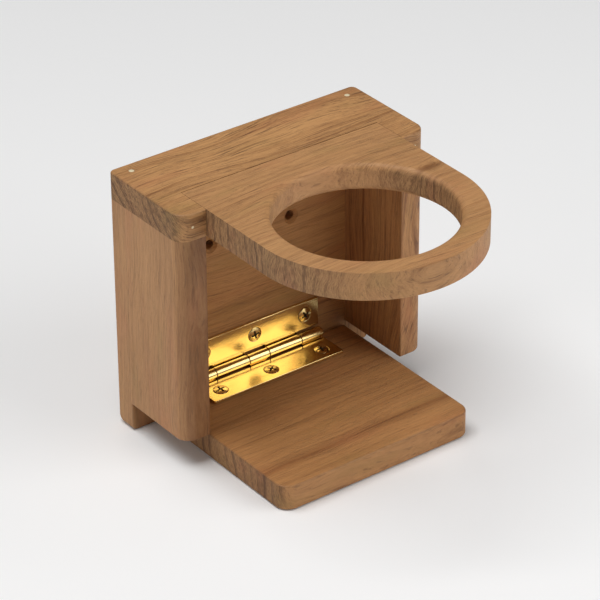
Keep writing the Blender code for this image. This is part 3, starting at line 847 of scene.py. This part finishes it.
def hinge_leaf(name, node, mine):
    """One finished leaf: thickened, sunk for its screws, and laid against its board."""
    piece = as_object(name, leaf_sheet(mine))
    sheet = piece.modifiers.new("sheet", "SOLIDIFY")
    sheet.thickness = LEAF_THICKNESS
    sheet.offset = -1.0 if outward_is_down(piece) else 1.0
    sheet.use_even_offset = True
    settle(piece)
    for across in SCREW_PLACES:
        top = (across, -SCREW_SETBACK, LEAF_THICKNESS - KNUCKLE_RADIUS)
        drill(piece, aimed(spun(sink(LEAF_THICKNESS)), top, (0, 0, -1)))
    rounding = piece.modifiers.new("stamped_edges", "BEVEL")
    rounding.width = STAMPED_EDGE
    rounding.segments = 3
    rounding.limit_method = "ANGLE"
    rounding.angle_limit = math.radians(40)
    settle(piece)
    if mine == "wall":
        piece.data.transform(Matrix.Rotation(math.pi, 4, "Z") @ Matrix.Rotation(-math.pi / 2, 4, "X"))
    piece.data.transform(Matrix.Translation(hinge_axis))
    fit_out(piece, node, hinge_brass, smooth_angle=28)


def outward_is_down(piece):
    """Whether the flat part of a leaf faces the board that it lies on."""
    plate = max(piece.data.polygons, key=lambda polygon: polygon.area)
    return plate.normal.z < 0


hinge_leaf("brass_shelf_leaf", "hinge_shelf_leaf", "shelf")
hinge_leaf("brass_wall_leaf", "hinge_wall_leaf", "wall")

# %% [markdown]
# The pin is a brass rod, peened a little at its ends so that it can't slide out. It is as long as the hinge,
# and its outline is spun, as on a lathe.

# %% Hinge pin
rod_low, rod_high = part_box("hinge_pin")
rod_radius = (rod_high.z - rod_low.z) / 2
peened = [(0, -HINGE_HALF), (0.62 * rod_radius, -HINGE_HALF + 0.03 * MM)]
peened += [(0.92 * rod_radius, -HINGE_HALF + 0.14 * MM), (rod_radius, -HINGE_HALF + 0.4 * MM)]
peened += [(radius, -height) for radius, height in reversed(peened)]
hinge_pin = as_object("brass_hinge_pin", aimed(spun(peened), hinge_axis, (1, 0, 0)))
fit_out(hinge_pin, "hinge_pin", hinge_brass)

# %% [markdown]
# ## Screws and nails
#
# The screws have raised countersunk heads: a low dome over a cone. The dome is turned, and a tapered cross is
# taken out of it. A fitter never leaves all crosses lined up, so each screw is turned to its own angle.

# %% Raised countersunk screws
HEAD_DOME = 0.54 * MM
HEAD_DEPTH = 1.6 * MM
SHANK = 1.35 * MM
SCREW_LENGTH = 9.2 * MM
TIP_LENGTH = 2.2 * MM
TIP_TAPER = 1.4 * MM
CROSS_LENGTH = 2.2 * MM
CROSS_WIDTH = 0.50 * MM
CROSS_DEPTH = 1.5 * MM
CUTTER_ABOVE = 0.3 * MM
THREAD_START = 2.6 * MM
THREAD_PITCH = 1.1 * MM
THREAD_DEPTH = 0.35 * MM
RIM_DEPTH = 0.08 * MM
DOME_STEPS = 9


def screw_blank():
    """A screw without its cross, with its head's rim at height 0 and its tip below."""
    dome_radius = (SCREW_HEAD ** 2 + HEAD_DOME ** 2) / (2 * HEAD_DOME)
    profile = []
    for step in range(DOME_STEPS):
        radius = SCREW_HEAD * step / DOME_STEPS
        profile.append((radius, HEAD_DOME - dome_radius + math.sqrt(dome_radius ** 2 - radius ** 2)))
    profile += [(SCREW_HEAD - 0.05 * MM, 0.06 * MM), (SCREW_HEAD, 0), (SCREW_HEAD - 0.08 * MM, -0.12 * MM)]
    profile += [(SHANK, -HEAD_DEPTH), (SHANK, -THREAD_START)]
    turn = 0
    while -THREAD_START - (turn + 1) * THREAD_PITCH > -SCREW_LENGTH + TIP_LENGTH:
        start = -THREAD_START - turn * THREAD_PITCH
        profile += [(SHANK - THREAD_DEPTH, start - 0.3 * THREAD_PITCH), (SHANK, start - 0.9 * THREAD_PITCH)]
        turn += 1
    profile += [(SHANK - 0.5 * MM, -SCREW_LENGTH + TIP_TAPER), (0, -SCREW_LENGTH)]
    return spun(profile, 40)


def cross_cutter():
    """A plus-shaped punch that narrows towards its tip."""
    shape = bmesh.new()
    points = []
    for turn in range(4):
        quarter_turn = Matrix.Rotation(turn * math.pi / 2, 3, "Z")
        for x, y in ((CROSS_LENGTH, -CROSS_WIDTH), (CROSS_LENGTH, CROSS_WIDTH), (CROSS_WIDTH, CROSS_WIDTH)):
            points.append(quarter_turn @ Vector((x, y, HEAD_DOME + CUTTER_ABOVE)))
    face = shape.faces.new([shape.verts.new(point) for point in points])
    grown = bmesh.ops.extrude_face_region(shape, geom=[face])
    tip = [item for item in grown["geom"] if isinstance(item, bmesh.types.BMVert)]
    bmesh.ops.translate(shape, verts=tip, vec=(0, 0, -CROSS_DEPTH - CUTTER_ABOVE))
    bmesh.ops.scale(shape, verts=tip, vec=(0.5, 0.5, 1.0))
    bmesh.ops.recalc_face_normals(shape, faces=shape.faces)
    return shape


def mark_recess_shade(piece):
    """Marks the recess, and the cone under the head's rim, which get painted shade."""
    recess_shade = piece.data.attributes.new("recess_shade", "FLOAT", "FACE")
    for face in piece.data.polygons:
        inside_cross = math.hypot(face.center.x, face.center.y) < CROSS_LENGTH
        on_wall = inside_cross and abs(face.normal.z) < 0.97 and face.center.z > -CROSS_DEPTH
        at_bottom = inside_cross and HEAD_DOME - CROSS_DEPTH - NEAR < face.center.z < 0
        under_rim = face.center.z < -RIM_DEPTH
        recess_shade.data[face.index].value = 1.0 if on_wall or at_bottom or under_rim else 0.0


def screw(name, node, at, way, angle):
    """One screw with its head's rim at a point, its top facing a way, and its cross turned by an angle."""
    piece = as_object(name, screw_blank())
    drill(piece, cross_cutter())
    # The cross recess and the cone under the head are marked for painted shade.
    mark_recess_shade(piece)
    turn = Vector((0, 0, 1)).rotation_difference(Vector(way)).to_matrix().to_4x4()
    piece.data.transform(Matrix.Translation(at) @ turn @ Matrix.Rotation(math.radians(angle), 4, "Z"))
    fit_out(piece, node, hinge_brass, smooth_angle=40)


SHELF_ANGLES = (8, 35, 80)
WALL_ANGLES = (52, 12, 30)
leaf_face = KNUCKLE_RADIUS - LEAF_THICKNESS
rows = zip(SCREW_PLACES, SHELF_ANGLES, WALL_ANGLES)
for number, (across, shelf_angle, wall_angle) in enumerate(rows, start=1):
    on_shelf = hinge_axis + Vector((across, -SCREW_SETBACK, -leaf_face))
    on_wall = hinge_axis + Vector((across, leaf_face, SCREW_SETBACK))
    screw(f"brass_shelf_screw_{number}", f"shelf_leaf_screw_{number}", on_shelf, (0, 0, 1), shelf_angle)
    screw(f"brass_wall_screw_{number}", f"wall_leaf_screw_{number}", on_wall, (0, -1, 0), wall_angle)

# %% [markdown]
# The nails and the pivot pins are cut from brass wire. Each fills the box of its plain solid from end to end,
# so one function makes them all from that box: it reads the length and the radius, spins a rod and lays it
# along its axis. The outer end is crowned a little, as a file leaves it.


# %% Nails and pivot pins
def rod_piece(name, node, way, crown):
    """A round rod that fills a node's box along one axis, with a rounded crown at its outer end."""
    low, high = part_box(node)
    axis = max(range(3), key=lambda index: abs(way[index]))
    length = high[axis] - low[axis]
    radius = (high[axis - 1] - low[axis - 1]) / 2
    middle = (low + high) / 2
    end = length / 2
    profile = [(0, end), (0.5 * radius, end - 0.25 * crown), (0.85 * radius, end - 0.6 * crown)]
    profile += [(radius, end - 1.4 * crown), (radius, -end + radius / 2), (0, -end)]
    rod = as_object(name, aimed(spun(profile, 32), middle, way))
    fit_out(rod, node, nail_brass, smooth_angle=50)


for side, word in ((-1, "left"), (1, "right")):
    rod_piece("brass_top_nail_" + word, "top_nail_" + word, (0, 0, 1), 0.05 * MM)
    rod_piece("brass_lock_nail_" + word, "pivot_lock_nail_" + word, (0, -1, 0), 0.08 * MM)
    rod_piece("brass_pivot_pin_" + word, "ring_pivot_pin_" + word, (side, 0, 0), 0.12 * MM)

# %% [markdown]
# ## Floor, light and camera
#
# The object is shown on a plain pale floor under three softboxes. The overhead one keeps the upper faces
# bright, the left one lifts the case's side, and the front right one shines into the corner of the two hinge
# leaves, which send it back to the camera. The sky stays dim, so the case is dark inside.

# %% Floor and sky
FLOOR_REACH = 3.0
FLOOR_WHITE = (0.93, 0.93, 0.93)
FLOOR_ROUGHNESS = 0.9
SKY_WHITE = (1.0, 1.0, 1.0, 1.0)
SKY_STRENGTH = 0.11
FLOOR_GAP = 0.1 * MM
floor_height = cad_box[0].z - FLOOR_GAP

shape = bmesh.new()
bmesh.ops.create_grid(shape, x_segments=1, y_segments=1, size=FLOOR_REACH)
bmesh.ops.translate(shape, vec=(0, 0, floor_height), verts=shape.verts)
floor = as_object("floor", shape)
floor_finish = Recipe("pale_floor").finish(Base_Color=solid(FLOOR_WHITE), Roughness=FLOOR_ROUGHNESS)
floor.data.materials.append(floor_finish)

world = bpy.data.worlds.new("studio")
world.use_nodes = True
sky = world.node_tree.nodes["Background"]
sky.inputs["Color"].default_value = SKY_WHITE
sky.inputs["Strength"].default_value = SKY_STRENGTH
bpy.context.scene.world = world
bpy.context.scene.view_settings.view_transform = "Standard"
print("the floor lies at", round(floor_height / MM, 1), "mm")


# %% Studio light
def softbox(name, way, distance, size, power):
    """A square soft light that looks at the object from a direction."""
    light = bpy.data.lights.new(name, "AREA")
    light.shape = "SQUARE"
    light.size = size
    light.energy = power
    lamp = bpy.data.objects.new(name, light)
    middle = (cad_box[0] + cad_box[1]) / 2
    lamp.location = middle + Vector(way).normalized() * distance
    lamp.rotation_euler = Vector(way).to_track_quat("Z", "Y").to_euler()
    bpy.context.scene.collection.objects.link(lamp)
    print(name, "shines with", power, "W from", distance, "m")


softbox("overhead_box", way=(-0.25, 0.12, 1.0), distance=2.0, size=1.3, power=29.0)
softbox("front_right_box", way=(0.514, -0.688, 0.512), distance=1.0, size=0.8, power=4.6)
softbox("left_box", way=(-0.95, 0.10, 0.25), distance=1.0, size=0.7, power=2.0)

# %% [markdown]
# A long lens from well back keeps the boards' edges nearly parallel, as in a catalogue picture. The camera
# looks down by about thirty degrees from the left, turned by the small angle that a hand-levelled tripod
# leaves.

# %% Camera
AZIMUTH = math.radians(-36.77)
ELEVATION = math.radians(30.80)
ROLL = math.radians(-0.32)
DISTANCE = 1268.8 * MM
LENS = 191.6
SENSOR_WIDTH = 36.0
CLIP_START = 0.05
AIM = Vector((0.0, -42.0, -17.5)) * MM
NUDGE = Vector((0.90, -0.08)) * MM

level_reach = math.cos(ELEVATION)
back = Vector((math.sin(AZIMUTH) * level_reach, -math.cos(AZIMUTH) * level_reach, math.sin(ELEVATION)))
level_right = (-back).cross(Vector((0, 0, 1))).normalized()
level_up = level_right.cross(-back)
right = math.cos(ROLL) * level_right + math.sin(ROLL) * level_up
up = math.cos(ROLL) * level_up - math.sin(ROLL) * level_right
stand = Matrix((right, up, back)).transposed().to_4x4()
stand.translation = AIM + back * DISTANCE + right * NUDGE.x + up * NUDGE.y
lens = bpy.data.cameras.new("camera")
lens.lens = LENS
lens.sensor_width = SENSOR_WIDTH
lens.clip_start = CLIP_START
camera = bpy.data.objects.new("camera", lens)
camera.matrix_world = stand
bpy.context.scene.collection.objects.link(camera)
bpy.context.scene.camera = camera
print("the camera stands", round(camera.location.length, 2), "m from the wall holes")
